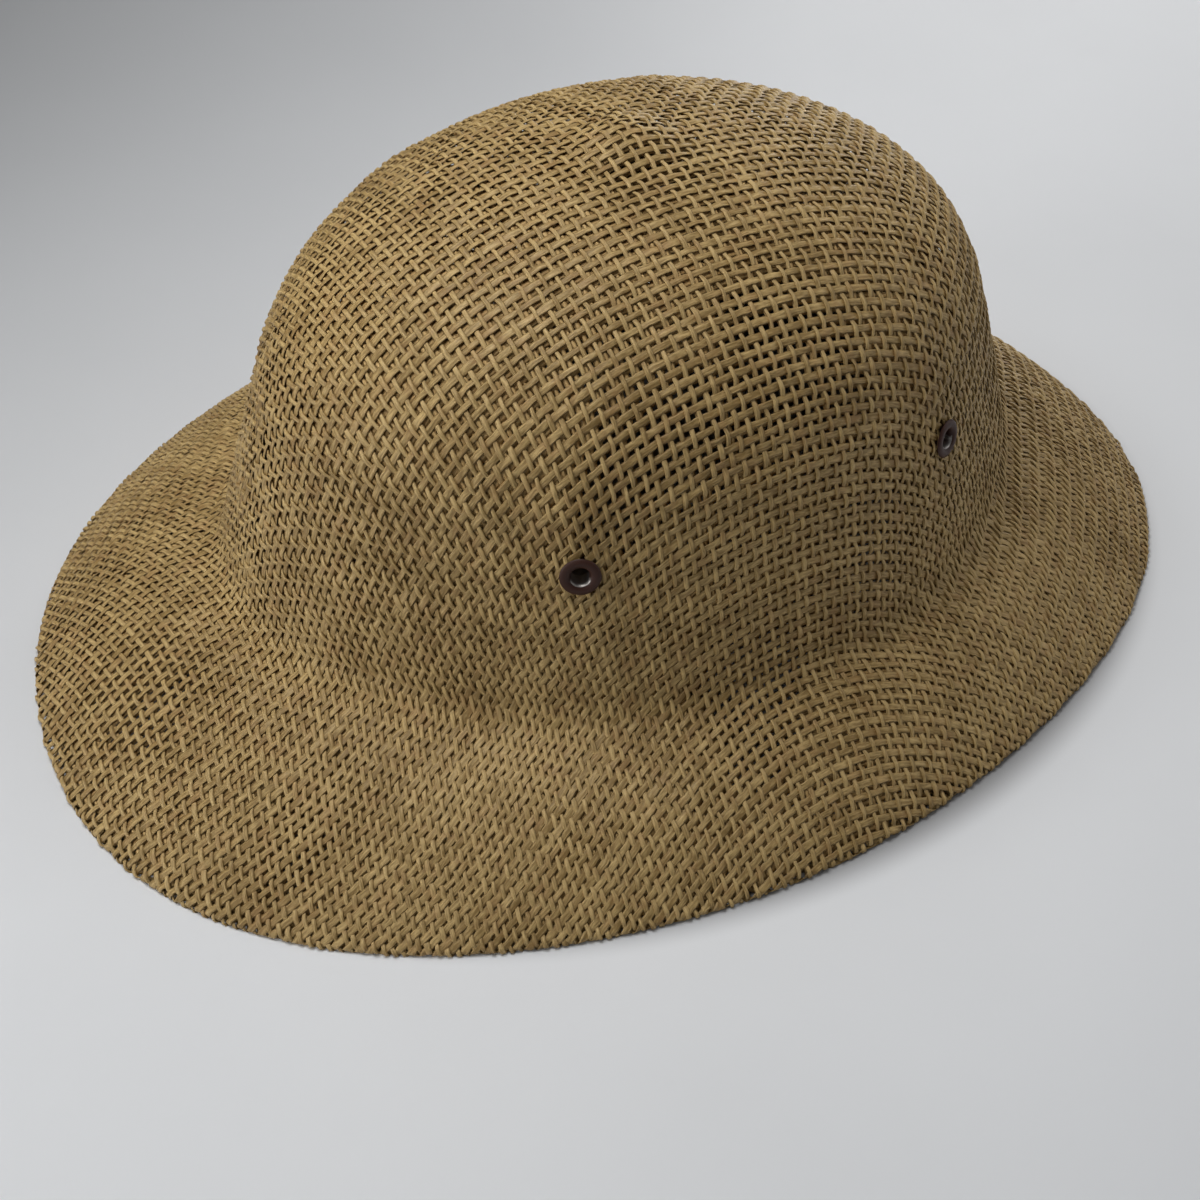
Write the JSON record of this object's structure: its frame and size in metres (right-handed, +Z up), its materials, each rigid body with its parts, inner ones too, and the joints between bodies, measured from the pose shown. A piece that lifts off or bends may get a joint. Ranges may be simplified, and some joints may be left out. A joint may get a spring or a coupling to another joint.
{
  "type": "straw pith helmet",
  "caption": "Straw pith helmet: domed crown with a small top button, a down-turned brim with a turned hem, and metal vent eyelets.",
  "frame": {"origin": "centre of the footprint, on the surface that the brim rests on", "axes": "+Z up, the hat's long axis along Y with its front towards -Y, +X to the right of the pictured side"},
  "size_m": [0.2644, 0.3354, 0.1423],
  "materials": {
    "straw_outer": "open plain weave of tan straw, dry satin",
    "straw_inner": "open plain weave of tan straw, dry satin",
    "eyelet_paint": "satin dark brown"
  },
  "bodies": {
    "root": {"outer_layer": "straw_outer", "inner_layer": "straw_inner", "eyelet_right_front": "eyelet_paint", "eyelet_right_rear": "eyelet_paint", "eyelet_left_rear": "eyelet_paint", "eyelet_left_front": "eyelet_paint"}
  },
  "joints": []
}
